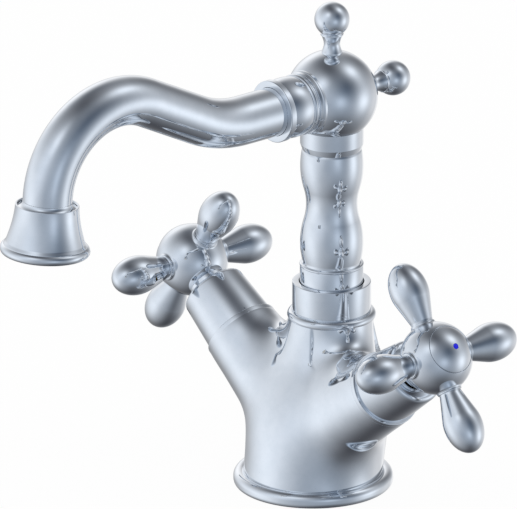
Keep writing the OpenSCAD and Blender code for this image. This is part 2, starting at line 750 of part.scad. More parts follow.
// The hub: a ball with a neck, four small bosses for the arms, a socket and a front recess
hub_foot = bonnet_out + hub_gap;
lug_seat = hub_r - 0.3;
boss_r = lug_r + 0.05;
fillet = 1.1;
fillet_z = sqrt(pow(hub_r + fillet, 2) - pow(boss_r + fillet, 2)) - 0.08;
fillet_turn = atan2(fillet_z, boss_r + fillet);
pin_r = 2;
pin_foot = spindle_r + 2.4;
cap_foot = sqrt(hub_r * hub_r - (cap_r + 0.15) * (cap_r + 0.15)) - 2.2;
web_foot = spindle_top + 0.1;
web_top = hub_c + 4;
module boss() {
    turned(concat(
        [[0, hub_r / 2], [hub_r / 4, hub_r / 2]],
        arc([boss_r + fillet, fillet_z], fillet, 180 + fillet_turn, 180 + asin((fillet_z - lug_seat) / fillet), 6),
        [[boss_r + 0.2, lug_seat + 0.8], [0, lug_seat + 0.8]]));
}

module hub() {
    color(chrome) difference() {
        union() {
            translate([0, 0, hub_c]) sphere(r = hub_r);
            translate([0, 0, hub_foot]) cylinder(r = hub_neck, h = hub_c - hub_foot);
            for (turn = [0 : 90 : 270]) translate([0, 0, hub_c]) rotate([0, 90, turn]) boss();
        }
        translate([0, 0, hub_foot - 1]) cylinder(r = spindle_r + fit_gap, h = web_foot - hub_foot + 1);
        cylinder(r = screw_r + fit_gap, h = 2 * hub_c);
        translate([0, 0, web_top]) cylinder(r = 3.7, h = hub_r);
        translate([0, 0, hub_c + cap_foot]) cylinder(r = cap_r + fit_gap, h = hub_r);
        for (turn = [0 : 90 : 270]) translate([0, 0, hub_c]) rotate([0, 90, turn]) {
            translate([0, 0, lug_seat]) cylinder(r = lug_r + 1, h = 5);
            translate([0, 0, pin_foot]) cylinder(r = pin_r + fit_gap, h = hub_r);
        }
    }
}

// One handle arm: pin, collar, groove and a teardrop that ends in a long round bulb
root_z = lug_seat + 1.9;
near = (bulb_reach - root_z) * bulb_r / bulb_long;
bulb_lean = atan2(near, root_r) - acos(bulb_r / norm([near, root_r]));
module handle_arm() {
    turned(concat(
        [[0, pin_foot + 0.2], [pin_r, pin_foot + 0.2], [pin_r, lug_seat], [lug_r, lug_seat],
         [lug_r, lug_seat + 0.3], [lug_r - 0.12, lug_seat + 0.42], [root_r - 0.35, lug_seat + 0.5],
         [root_r - 0.28, lug_seat + 1], [root_r - 0.16, lug_seat + 1.4], [root_r, root_z]],
        [for (i = [0 : 24]) let (a = -bulb_lean + (90 + bulb_lean) * i / 24)
            [bulb_r * cos(a), bulb_reach + bulb_long * sin(a)]]));
}

module arms() {
    color(chrome) for (turn = [0 : 90 : 270]) translate([0, 0, hub_c]) rotate([0, 90, turn]) handle_arm();
}

module screw() {
    color(steel) difference() {
        union() {
            translate([0, 0, hub_c - 8]) cylinder(r = screw_r, h = web_top - hub_c + 8);
            translate([0, 0, web_top]) cylinder(r = 3.5, h = 2);
        }
        translate([0, 0, web_top + 0.8]) cylinder(r = 1.7, h = 3, $fn = 6);
    }
}

// The index cap: a shallow dome over a short plug
cap_rise = cap_top - sqrt(hub_r * hub_r - (cap_r + 0.15) * (cap_r + 0.15));
dome_r = (cap_r * cap_r + cap_rise * cap_rise) / (2 * cap_rise);
dome_turn = asin((cap_r - 0.12) / dome_r);
dot_pit = 0.5;
module index_cap() {
    color(chrome) difference() {
        turned(concat(
            [[0, hub_c + cap_foot], [cap_r, hub_c + cap_foot], [cap_r, hub_c + cap_top - cap_rise - 0.15]],
            arc([0, hub_c + cap_top - dome_r], dome_r, 90 - dome_turn, 90, 16)));
        translate([0, 0, hub_c + cap_foot - 1]) cylinder(r = cap_r - 1.5, h = 2.6);
        translate([0, 0, hub_c + cap_top - dot_pit]) cylinder(r = dot_r + fit_gap, h = 2);
    }
}

module index_dot(colour) {
    color(colour) translate([0, 0, hub_c + cap_top - dot_pit]) cylinder(r = dot_r, h = dot_pit);
}

body();
base_seal();
swivel_collar();
glide_ring();
on_arm(hot) bonnet();  // hot_bonnet
on_arm(cold) bonnet();  // cold_bonnet
on_arm(hot) cartridge();  // hot_cartridge
on_arm(cold) cartridge();  // cold_cartridge
on_arm(hot) seat_seal();  // hot_seat_seal
on_arm(cold) seat_seal();  // cold_seat_seal
on_arm(hot) fixed_disc();  // hot_fixed_disc
on_arm(cold) fixed_disc();  // cold_fixed_disc
column();
column_orings();
column_circlip();
head_collar();
ball_head();
top_finial();
rear_finial();
spout_ferrule();
spout_tube();
spout_seal();
outlet_bell();
aerator();
aerator_seal();
on_arm(hot) spindle();  // hot_spindle
on_arm(hot) spindle_oring();  // hot_spindle_oring
on_arm(hot) moving_disc();  // hot_moving_disc
on_arm(hot) hub();  // hot_hub
on_arm(hot) arms();  // hot_arms
on_arm(hot) screw();  // hot_screw
on_arm(hot) index_cap();  // hot_index_cap
on_arm(hot) index_dot([0.85, 0.08, 0.08]);  // hot_index_dot
on_arm(cold) spindle();  // cold_spindle
on_arm(cold) spindle_oring();  // cold_spindle_oring
on_arm(cold) moving_disc();  // cold_moving_disc
on_arm(cold) hub();  // cold_hub
on_arm(cold) arms();  // cold_arms
on_arm(cold) screw();  // cold_screw
on_arm(cold) index_cap();  // cold_index_cap
on_arm(cold) index_dot([0.05, 0.10, 0.95]);  // cold_index_dot
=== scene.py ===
# Basin mixer tap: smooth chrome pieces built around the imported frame.
# Sizes in the dictionaries are in millimetres and degrees, the scene itself is in metres.
import json
import math

import bmesh
import bpy
import numpy as np
from mathutils import Matrix, Vector


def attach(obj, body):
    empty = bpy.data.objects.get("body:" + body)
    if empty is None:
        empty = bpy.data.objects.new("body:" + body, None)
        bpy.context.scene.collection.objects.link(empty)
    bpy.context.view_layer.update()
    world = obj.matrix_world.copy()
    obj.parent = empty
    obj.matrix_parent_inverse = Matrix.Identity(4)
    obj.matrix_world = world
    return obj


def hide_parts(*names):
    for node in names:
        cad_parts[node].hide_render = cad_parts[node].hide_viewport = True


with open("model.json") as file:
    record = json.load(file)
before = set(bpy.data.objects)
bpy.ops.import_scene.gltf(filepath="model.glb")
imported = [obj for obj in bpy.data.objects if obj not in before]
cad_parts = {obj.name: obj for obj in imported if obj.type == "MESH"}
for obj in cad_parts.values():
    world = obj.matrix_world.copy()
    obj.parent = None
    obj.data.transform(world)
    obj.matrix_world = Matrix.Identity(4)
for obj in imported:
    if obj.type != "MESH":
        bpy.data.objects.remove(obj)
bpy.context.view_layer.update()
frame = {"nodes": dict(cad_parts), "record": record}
mm = 0.001
tiny = 1e-6   # a radius below this is on the axis
smooth = 192  # sides of the larger turned pieces
print("frame loaded:", len(frame["nodes"]), "nodes")


# Camera: a very long lens, so the picture is nearly parallel, as in the photograph
cameraSet = {
    "azimuth": 49.832, "elevation": 19.859, "roll": 0.03,
    "distance": 7.5,  # metres
    "pixelsPerMm": 2.9591,
    "aimRight": -18.525, "aimUp": 76.960,  # from the origin to the middle of the picture
    "pictureWidth": 517, "sensorWidth": 36,
}


def makeCamera(s):
    a, e = math.radians(s["azimuth"]), math.radians(s["elevation"])
    back = Vector((math.sin(a) * math.cos(e), -math.cos(a) * math.cos(e), math.sin(e)))
    right = Vector((math.cos(a), math.sin(a), 0))
    up = back.cross(right)
    aim = (right * s["aimRight"] + up * s["aimUp"]) * mm
    cam = bpy.data.objects.new("camera", bpy.data.cameras.new("camera"))
    bpy.context.collection.objects.link(cam)
    cam.data.sensor_width = s["sensorWidth"]
    cam.data.lens = s["sensorWidth"] * s["distance"] * s["pixelsPerMm"] / (s["pictureWidth"] * mm)
    cam.data.clip_start, cam.data.clip_end = 0.1, 60
    facing = Matrix((right, up, back)).transposed().to_4x4()
    roll = Matrix.Rotation(math.radians(s["roll"]), 4, "Z")
    cam.matrix_world = Matrix.Translation(aim + back * s["distance"]) @ facing @ roll
    bpy.context.scene.camera = cam


makeCamera(cameraSet)
bpy.context.scene.view_settings.view_transform = "Standard"
print("camera made")


# Shader helpers: a wire is a socket that can be used in sums
class Wire:
    def __init__(self, graph, socket):
        self.graph, self.socket = graph, socket

    def math(self, operation, a, b):
        return self.graph.add("Math", {"operation": operation}, {0: a, 1: b})

    def __add__(self, other):
        return self.math("ADD", self, other)

    def __radd__(self, other):
        return self.math("ADD", other, self)

    def __sub__(self, other):
        return self.math("SUBTRACT", self, other)

    def __rsub__(self, other):
        return self.math("SUBTRACT", other, self)

    def __mul__(self, other):
        return self.math("MULTIPLY", self, other)

    def __rmul__(self, other):
        return self.math("MULTIPLY", other, self)


class Graph:
    def __init__(self, tree):
        self.tree = tree
        tree.nodes.clear()

    def add(self, kind, settings=None, sockets=None, out=0):
        node = self.tree.nodes.new("ShaderNode" + kind)
        for key, value in (settings or {}).items():
            if key == "stops":
                for i, (at, colour) in enumerate(value):
                    stop = node.color_ramp.elements[i] if i < 2 else node.color_ramp.elements.new(at)
                    stop.position, stop.color = at, colour
            else:
                setattr(node, key, value)
        for key, value in (sockets or {}).items():
            if isinstance(value, Wire):
                self.tree.links.new(value.socket, node.inputs[key])
            else:
                node.inputs[key].default_value = value
        return Wire(self, node.outputs[out]) if node.outputs else None


def newMaterial(name):
    material = bpy.data.materials.new(name)
    material.use_nodes = True
    return material, Graph(material.node_tree)


def grey(value):
    return value, value, value, 1


# Finishes
chromeSet = {
    "pale": (0.815, 0.845, 0.885, 1), "deep": (0.775, 0.81, 0.852, 1),
    "mottleSize": 240, "mottleLow": 0.35, "mottleHigh": 0.65,  # where the mottle is deep and where pale
    "roughness": 0.025, "smear": 0.02,  # smear: what wiping leaves in the roughness
    "smearSize": 55, "wipeTurn": (0.5, 0.3, 0.8), "wipeStretch": (1, 1, 4),
    "waveSize": 38, "waveDepth": 0.004, "waveHeight": 0.001,
}


def noise(g, place, size, detail, roughness):
    return g.add("TexNoise", {}, {"Vector": place, "Scale": size, "Detail": detail, "Roughness": roughness})


def makeChrome(s):
    material, g = newMaterial("bright chrome plate")
    place = g.add("TexCoord", out="Object")
    wiped = g.add("Mapping", {}, {"Vector": place, "Rotation": s["wipeTurn"], "Scale": s["wipeStretch"]})
    mottle = noise(g, place, s["mottleSize"], 3, 0.6)
    smears = noise(g, wiped, s["smearSize"], 5, 0.65)
    waves = noise(g, place, s["waveSize"], 1, 0.4)
    stops = [(s["mottleLow"], s["deep"]), (s["mottleHigh"], s["pale"])]
    tint = g.add("ValToRGB", {"stops": stops}, {0: mottle})
    bump = g.add("Bump", {}, {"Height": waves, "Strength": s["waveDepth"], "Distance": s["waveHeight"]})
    shader = g.add("BsdfPrincipled", {}, {
        "Base Color": tint, "Metallic": 1.0, "Normal": bump,
        "Roughness": s["roughness"] + s["smear"] * smears})
    g.add("OutputMaterial", {}, {"Surface": shader})
    return material


# Plainer finishes: two tones, a grain between them, and how shiny, rough and metallic they are
plainFinishes = {
    "brass": {"pale": (0.83, 0.69, 0.38, 1), "deep": (0.66, 0.50, 0.24, 1), "metallic": 1.0,
              "roughness": 0.24, "grain": 300, "depth": 0.08, "stretch": (1, 1, 8)},
    "steel": {"pale": (0.64, 0.66, 0.69, 1), "deep": (0.50, 0.52, 0.55, 1), "metallic": 1.0,
              "roughness": 0.28, "grain": 420, "depth": 0.06, "stretch": (1, 1, 6)},
    "ceramic": {"pale": (0.92, 0.91, 0.88, 1), "deep": (0.84, 0.83, 0.79, 1), "metallic": 0.0,
                "roughness": 0.22, "grain": 700, "depth": 0.02, "stretch": (1, 1, 1)},
    "rubber": {"pale": (0.030, 0.031, 0.033, 1), "deep": (0.012, 0.012, 0.013, 1), "metallic": 0.0,
               "roughness": 0.62, "grain": 900, "depth": 0.20, "stretch": (1, 1, 1)},
    "nylon": {"pale": (0.86, 0.85, 0.80, 1), "deep": (0.74, 0.73, 0.68, 1), "metallic": 0.0,
              "roughness": 0.42, "grain": 500, "depth": 0.06, "stretch": (1, 1, 1)},
    "blue_dot": {"pale": (0.002, 0.003, 0.82, 1), "deep": (0.001, 0.002, 0.66, 1), "metallic": 0.0,
                 "roughness": 0.16, "grain": 900, "depth": 0.02, "stretch": (1, 1, 1)},
    "red_dot": {"pale": (0.72, 0.010, 0.010, 1), "deep": (0.52, 0.006, 0.006, 1), "metallic": 0.0,
                "roughness": 0.16, "grain": 900, "depth": 0.02, "stretch": (1, 1, 1)},
}


grainSet = {"low": 0.3, "high": 0.7, "height": 0.0004, "roughness": 0.08}


def makePlain(name, s, shared):
    material, g = newMaterial(name + " finish")
    place = g.add("Mapping", {}, {"Vector": g.add("TexCoord", out="Object"), "Scale": s["stretch"]})
    grain = noise(g, place, s["grain"], 4, 0.6)
    stops = [(shared["low"], s["deep"]), (shared["high"], s["pale"])]
    tint = g.add("ValToRGB", {"stops": stops}, {0: grain})
    bump = g.add("Bump", {}, {"Height": grain, "Strength": s["depth"], "Distance": shared["height"]})
    shader = g.add("BsdfPrincipled", {}, {
        "Base Color": tint, "Metallic": s["metallic"], "Normal": bump,
        "Roughness": s["roughness"] + shared["roughness"] * grain})
    g.add("OutputMaterial", {}, {"Surface": shader})
    return material


finishes = {"chrome": makeChrome(chromeSet)}
for name, settings in plainFinishes.items():
    finishes[name] = makePlain(name, settings, grainSet)
for part in frame["record"]["subparts"]:
    node = frame["nodes"][part["node"]]
    node.data.materials.clear()
    node.data.materials.append(finishes[part["material_slot"]])
print("finishes made:", len(finishes))


# Mesh helpers: outlines are lists of (radius, height) or (radius, height, fillet)
def rounded(corners, steps=6):
    points = []
    for i, corner in enumerate(corners):
        at = np.array(corner[:2], float)
        fillet = corner[2] if len(corner) > 2 else 0
        if fillet == 0:
            points.append(tuple(at))
            continue
        before = np.array(corners[i - 1][:2], float) - at
        after = np.array(corners[(i + 1) % len(corners)][:2], float) - at
        toBefore, toAfter = before / np.linalg.norm(before), after / np.linalg.norm(after)
        half = math.acos(max(-1, min(1, toBefore @ toAfter))) / 2
        cut = min(fillet / math.tan(half), 0.49 * np.linalg.norm(before), 0.49 * np.linalg.norm(after))
        bisector = (toBefore + toAfter) / np.linalg.norm(toBefore + toAfter)
        middle = at + bisector * cut / math.cos(half)
        start, end = at + toBefore * cut - middle, at + toAfter * cut - middle
        first = math.atan2(start[1], start[0])
        sweep = (math.atan2(end[1], end[0]) - first + math.pi) % (2 * math.pi) - math.pi
        radius = np.linalg.norm(start)
        for k in range(steps + 1):
            a = first + sweep * k / steps
            points.append((middle[0] + radius * math.cos(a), middle[1] + radius * math.sin(a)))
    return points


def arc(centre, radius, start, end, steps=16):
    turns = [math.radians(start + (end - start) * i / steps) for i in range(steps + 1)]
    return [(centre[0] + radius * math.cos(a), centre[1] + radius * math.sin(a)) for a in turns]


def ring(radius, z, sides):
    turns = [2 * math.pi * j / sides for j in range(sides)]
    return [(radius * math.cos(a), radius * math.sin(a), z) for a in turns]


def turned(corners, sides=160):
    points = rounded(corners)
    starts, verts, faces = [], [], []
    for r, z in points:
        starts.append(len(verts))
        verts += [(0, 0, z)] if r < tiny else ring(r, z, sides)
    count = len(points)
    last = count - 1 if points[0][0] < tiny and points[-1][0] < tiny else count
    for i in range(last):
        a, b = i, (i + 1) % count
        poleA, poleB = points[a][0] < tiny, points[b][0] < tiny
        for j in range(sides):
            k = (j + 1) % sides
            if poleA and not poleB:
                faces.append((starts[a], starts[b] + k, starts[b] + j))
            elif poleB and not poleA:
                faces.append((starts[a] + j, starts[a] + k, starts[b]))
            elif not poleA:
                faces.append((starts[a] + j, starts[a] + k, starts[b] + k, starts[b] + j))
    return np.array(verts, float), faces


def placed(shape, matrix):
    verts, faces = shape
    m = np.array(matrix)
    return verts @ m[:3, :3].T + m[:3, 3], faces


def rod(radius, low, high, sides=96):
    return turned([(0, low), (radius, low), (radius, high), (0, high)], sides)


def meshObject(name, shapes):
    verts, faces = [], []
    for shapeVerts, shapeFaces in shapes:
        start = len(verts)
        verts += (shapeVerts * mm).tolist()
        faces += [tuple(start + v for v in face) for face in shapeFaces]
    mesh = bpy.data.meshes.new(name)
    mesh.from_pydata(verts, [], faces)
    mesh.validate()
    work = bmesh.new()
    work.from_mesh(mesh)
    bmesh.ops.remove_doubles(work, verts=work.verts, dist=1e-7)
    bmesh.ops.recalc_face_normals(work, faces=work.faces)
    work.to_mesh(mesh)
    work.free()
    obj = bpy.data.objects.new(name, mesh)
    bpy.context.collection.objects.link(obj)
    return obj


def combined(obj, joined=(), cut=()):
    tools = [(shape, "UNION") for shape in joined] + [(shape, "DIFFERENCE") for shape in cut]
    for i, (shape, operation) in enumerate(tools):
        tool = meshObject("tool", [shape])
        step = obj.modifiers.new("step", "BOOLEAN")
        step.operation, step.object, step.solver = operation, tool, "MANIFOLD"
        result = bpy.data.meshes.new_from_object(obj.evaluated_get(bpy.context.evaluated_depsgraph_get()))
        obj.modifiers.clear()
        old, obj.data = obj.data, result
        bpy.data.meshes.remove(old)
        bpy.data.objects.remove(tool)
    return obj


def finishPiece(obj, body, nodes, slot="chrome", sharp=34):
    mesh = obj.data
    mesh.materials.clear()
    mesh.materials.append(finishes[slot])
    mesh.shade_smooth()
    mesh.set_sharp_from_angle(angle=math.radians(sharp))
    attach(obj, body)
    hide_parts(*nodes)
    return obj


def move(x, y, z):
    return Matrix.Translation((x, y, z))


def turn(angle, axis):
    return Matrix.Rotation(math.radians(angle), 4, axis)


# The frame's own places, as in the part
tap = {
    "footR": 27, "footH": 5, "footRim": 1.9, "trunkR": 23.3, "neckR": 14.15, "neckTop": 60.5, "columnBack": 8,
    "armTilt": 55, "armCross": 18, "armLen": 46.3, "armR": 12.95,
    "ballZ": 137.0, "ballR": 15.5, "finialFoot": 3.5, "hubRise": 31.3, "bonnetH": 18.5,
}
signs = {"hot": -1, "cold": 1}
hubC = tap["armLen"] + tap["hubRise"]
bonnetOut = tap["armLen"] + tap["bonnetH"]
onColumn = move(0, tap["columnBack"], 0)
ballPlace = move(0, tap["columnBack"], tap["ballZ"])
fromBall = {"up": ballPlace, "front": ballPlace @ turn(90, "X"), "back": ballPlace @ turn(-90, "X")}
onArm = {side: move(0, 0, tap["armCross"]) @ turn(sign * tap["armTilt"], "Y") for side, sign in signs.items()}


def handleWays(side):
    hub = onArm[side] @ move(0, 0, hubC)
    return [hub @ turn(angle, "Z") @ turn(90, "Y") for angle in (0, 90, 180, 270)]


# Body: two arms, a trunk and a neck under one soft skin
skinSet = {
    "armBlend": 7.5,  # between the two arms
    "panelHalf": 5.38, "panelTop": 57.5, "panelLean": 0.2,  # the trunk's front runs up the neck as a panel
    "panelFrom": 46.93, "panelOpen": 0.5, "panelSteep": 0.95, "panelEdge": 0.6,
    "saddle": 17.95, "saddleIn": 0.1, "saddleFoot": 30, "saddleFade": 7.5, "saddleEdge": 0.3,
    "nearest": 2.0, "farthest": 180.0, "halvings": 30,  # of the search along each way out
    "sides": 240, "rings": (72, 44, 14, 44), "armEnd": 1.6, "footEnd": 0.6,
}
bodyLines = {  # outlines of the casting by height, and of its arms by the way from where they cross
    "radius": [(5, 23.56), (15, 23.43), (25, 22.4), (34, 20.39), (42, 18.34), (50, 16.08), (59, 14.23)],
    "back": [(5, -0.05), (15, 1.42), (25, 3.41), (34, 5.17), (42, 6.72), (50, 7.55), (59, 8.02)],
    "soft": [(18, 7.5), (30, 7.92), (40, 8.48), (48, 8.6), (59, 8.6)],
    "arm": [(8, 15.66), (20, 14.73), (30, 13.98), (38, 13.5), (43, 13.26), (46.3, 12.95)],
}


def lineAt(name, at):
    # A smooth line through an outline's points, without bend at both ends
    places, values = np.array(bodyLines[name], float).T
    steps, last = np.diff(places), len(places) - 1
    slopes = np.diff(values) / steps
    matrix, turns = np.eye(len(places)), np.zeros(len(places))
    for i in range(1, last):
        matrix[i, i - 1:i + 2] = steps[i - 1], 2 * (steps[i - 1] + steps[i]), steps[i]
        turns[i] = 6 * (slopes[i] - slopes[i - 1])
    bend = np.linalg.solve(matrix, turns)
    at = np.clip(at, places[0], places[-1])
    i = np.clip(np.searchsorted(places, at) - 1, 0, last - 1)
    t, h = at - places[i], steps[i]
    u = h - t
    curved = (bend[i] * u ** 3 + bend[i + 1] * t ** 3) / (6 * h)
    return curved + (values[i] / h - bend[i] * h / 6) * u + (values[i + 1] / h - bend[i + 1] * h / 6) * t


def softMin(a, b, soft):
    return np.minimum(a, b) - np.maximum(soft - np.abs(a - b), 0) ** 2 / (4 * soft)


def skinGap(p, s):
    tilt, high = math.radians(tap["armTilt"]), p[:, 2]
    gaps = []
    for sign in (1, -1):
        x, z = sign * p[:, 0], high - tap["armCross"]
        along = np.maximum(0, x * math.sin(tilt) + z * math.cos(tilt))
        offX, offZ = x - along * math.sin(tilt), z - along * math.cos(tilt)
        gaps.append(np.sqrt(offX ** 2 + p[:, 1] ** 2 + offZ ** 2) - lineAt("arm", along))
    trunk = np.hypot(p[:, 0], p[:, 1] - lineAt("back", high)) - lineAt("radius", high)
    panel = s["panelHalf"] + s["panelLean"] * (s["panelTop"] - high)
    panel += s["panelOpen"] * np.maximum(s["panelFrom"] - high, 0) ** 2
    trunk = -softMin(-trunk, -s["panelSteep"] * (np.abs(p[:, 0]) - panel), s["panelEdge"])
    casting = softMin(softMin(*gaps, s["armBlend"]), trunk, lineAt("soft", high))
    # A saddle on each side leads from the round neck to the arm, and fades out below
    neck = np.hypot(p[:, 0], p[:, 1] - tap["columnBack"]) - tap["neckR"]
    saddle = softMin(np.where(p[:, 0] > 0, *gaps) + s["saddleIn"], neck, s["saddle"])
    saddle = -softMin(-saddle, high - s["saddleFoot"], s["saddleFade"])
    return softMin(casting, saddle, s["saddleEdge"])


def onSkin(ways, s):
    near, far = np.full(len(ways), s["nearest"]), np.full(len(ways), s["farthest"])
    centre = np.array([0, 0, tap["armCross"]])
    for _ in range(s["halvings"]):
        middle = (near + far) / 2
        inside = skinGap(centre + middle[:, None] * ways, s) < 0
        near, far = np.where(inside, middle, near), np.where(inside, far, middle)
    return centre + near[:, None] * ways


def makeSkin(s, skinTop):
    # Four fans of rings: up the neck, out along the cold arm, down the trunk, out along the hot arm
    count, half, tilt = s["sides"], s["sides"] // 2, tap["armTilt"]
    skinFoot, armEnd = tap["footRim"] * s["footEnd"], tap["armLen"] - s["armEnd"]
    ends = [0, tilt, 180, 360 - tilt, 360]
    centre = np.array([0, 0, tap["armCross"]])
    turns = 2 * math.pi * np.arange(count) / count
    verts, faces = [], []

    def seamWay(k, i):
        middle, spread = math.radians((ends[k] + ends[k + 1]) / 2), math.radians((ends[k + 1] - ends[k]) / 2)
        around = math.pi * i / half - math.pi / 2
        rise = math.asin(math.sin(around) * math.sin(math.atan2(math.tan(spread), math.cos(around))))
        return [math.sin(middle) * math.cos(rise), math.sin(rise), math.cos(middle) * math.cos(rise)]

    for p in range(4):
        angle = math.radians(ends[p])
        along = np.array([math.sin(angle), 0, math.cos(angle)])
        if p in (1, 3):
            rimCentre, rimRad = centre + armEnd * along, lineAt("arm", armEnd)
        else:
            high = skinTop if p == 0 else skinFoot
            rimCentre, rimRad = np.array([0, lineAt("back", high), high]), lineAt("radius", high)
        around = [np.sin(turns) * math.cos(angle), -np.cos(turns), -np.sin(turns) * math.sin(angle)]
        rim = rimCentre + rimRad * np.stack(around, 1)
        edge = [seamWay(p, j) if j <= half else seamWay((p + 3) % 4, count - j) for j in range(count)]
        start = rim - centre
        start /= np.linalg.norm(start, axis=1)[:, None]
        first, rings = len(verts), s["rings"][p]
        for r in range(rings + 1):
            t = r / rings
            ways = start * (1 - t) + np.array(edge) * t
            ways /= np.linalg.norm(ways, axis=1)[:, None]
            verts += (rim if r == 0 else onSkin(ways, s)).tolist()
        faces.append(tuple(first + j for j in range(count)))
        for r in range(rings):
            a, b = first + r * count, first + (r + 1) * count
            for j in range(count):
                k = (j + 1) % count
                faces.append((a + j, a + k, b + k, b + j))
    return np.array(verts), faces


bodySet = {
    "footEdge": 2.3, "footTurn": 125, "valley": 0.6, "valleyIn": 0.5, "beadEdge": 1.5, "beadOut": 0.85,
    "lipOut": 0.15, "lipFoot": 2.4, "lipStep": 0.12, "lipRise": 0.2,
    "socketR": 8.56, "socketFoot": 33.5, "socketTop": 90, "spigotR": 11.39, "spigotH": 6,
    "cartridgeR": 9.04, "cartridgeFoot": 23.5, "hoseX": 9, "hoseR": 4.5, "hoseDepth": 10,
    "wayR": 3, "wayTop": 24.3, "armWayTop": 30, "mixZ": 39, "mixX": 18.7,
    "studY": 12, "studR": 3.4, "studDepth": 16, "sealOut": 23.84, "sealIn": 20.56, "sealH": 2.04,
    "below": -1, "footSides": 240,
}


def makeBody(s, skinSet):
    footR, footH, rim, edge = tap["footR"], tap["footH"], tap["footRim"], s["footEdge"]
    skinTop, beadC = tap["neckTop"] - s["beadEdge"], tap["neckR"] + s["beadOut"] - s["beadEdge"]
    lipR, lipTop, valley = tap["armR"] + s["lipOut"], tap["armLen"], footH - s["valley"]
    lipFoot = lipTop - s["lipFoot"]
    outline = [(0, 0)] + arc((footR - rim, rim), rim, -90, 0)
    outline += arc((footR - edge, footH - edge), edge, 0, s["footTurn"], 20)
    foot = turned(outline + [(tap["trunkR"] - s["valleyIn"], valley), (0, valley)], s["footSides"])
    outline = [(0, skinTop - s["beadEdge"])] + arc((beadC, skinTop), s["beadEdge"], -90, 90, 24)
    bead = turned(outline + [(0, tap["neckTop"])], smooth)
    lip = turned([(0, lipFoot), (lipR - s["lipStep"], lipFoot), (lipR, lipFoot + s["lipRise"], 0.1),
                  (lipR, lipTop - 0.02, 0.25), (0, lipTop)], smooth)
    joined = [foot, placed(bead, onColumn)] + [placed(lip, onArm[side]) for side in signs]
    groove = [(s["sealIn"], s["below"]), (s["sealOut"], s["below"]),
              (s["sealOut"], s["sealH"]), (s["sealIn"], s["sealH"])]
    cut = [placed(rod(s["socketR"], s["socketFoot"], s["socketTop"]), onColumn),
           placed(rod(s["spigotR"], tap["neckTop"] - s["spigotH"], s["socketTop"]), onColumn),
           placed(rod(s["studR"], s["below"], s["studDepth"]), move(0, s["studY"], 0)),
           turned(groove, smooth)]
    for side, sign in signs.items():
        hose = move(sign * s["hoseX"], 0, 0)
        cut.append(placed(rod(s["cartridgeR"], s["cartridgeFoot"], s["socketTop"]), onArm[side]))
        cut.append(placed(rod(s["hoseR"], s["below"], s["hoseDepth"]), hose))
        cut.append(placed(rod(s["wayR"], 0, s["wayTop"]), hose))
        cut.append(placed(rod(s["wayR"], s["hoseX"], s["armWayTop"]), onArm[side]))
        aside = math.degrees(math.atan2(-tap["columnBack"], sign * s["mixX"]))
        lead = move(0, tap["columnBack"], s["mixZ"]) @ turn(aside, "Z") @ turn(90, "Y")
        cut.append(placed(rod(s["wayR"], 0, math.hypot(s["mixX"], tap["columnBack"])), lead))
    obj = combined(meshObject("bodyCasting", [makeSkin(skinSet, skinTop)]), joined, cut)
    return finishPiece(obj, "base", ["body"])


body = makeBody(bodySet, skinSet)
print("body made:", len(body.data.polygons), "faces")


# Swivel collar and column
collarSet = {
    "collarR": 13.3, "collarTop": 70.8, "ringR": 10.7, "ringGap": 0.35, "stemR": 8.5, "stemGap": 0.3,
    "shelf": 62.5, "spigotR": 11.35, "spigotLen": 5.96, "clipR": 9.7, "clipGap": 0.4,
    "footStep": 0.35, "footRise": 0.45,
}


def makeCollar(s):
    low, top, r = tap["neckTop"], s["collarTop"], s["collarR"]
    end, mouthR, foot = low - s["spigotLen"], s["ringR"] + s["ringGap"], r - s["footStep"]
    stemR, clipR = s["stemR"] + s["stemGap"], s["clipR"] + s["clipGap"]
    outline = [(s["spigotR"], end), (s["spigotR"], low), (foot, low), (foot, low + s["footRise"]),
               (r, low + s["footRise"] + 0.1, 0.1), (r, top, 0.3), (mouthR, top, 0.2), (mouthR, s["shelf"]),
               (stemR, s["shelf"]), (stemR, low), (clipR, low), (clipR, end)]
    obj = meshObject("swivelCollar", [placed(turned(outline, smooth), onColumn)])
    return finishPiece(obj, "base", ["swivel_collar"])


columnSet = {
    "stemR": 8.5, "stemLen": 14, "boreR": 6, "foot": 63.46, "ringR": 10.7, "ringTop": 76.4,
    "grooveR": 6.74, "grooveLow": 47.7, "grooveHigh": 51.1, "grooveH": 2.2,
    "beadIn": 0.35, "beadUp": 0.5, "beadR": 0.5, "neckIn": 0.75, "neckUp": 1.05, "swellFoot": 1.8,
    "bulgeR": 10.65, "waistR": 8.65, "lowBulge": 84.7, "pitch": 27.4, "bigShare": 0.6,
    "top": 118.0, "swellTop": 0.5, "topR": 9.85, "tailR": 7.4, "tailH": 6,
}


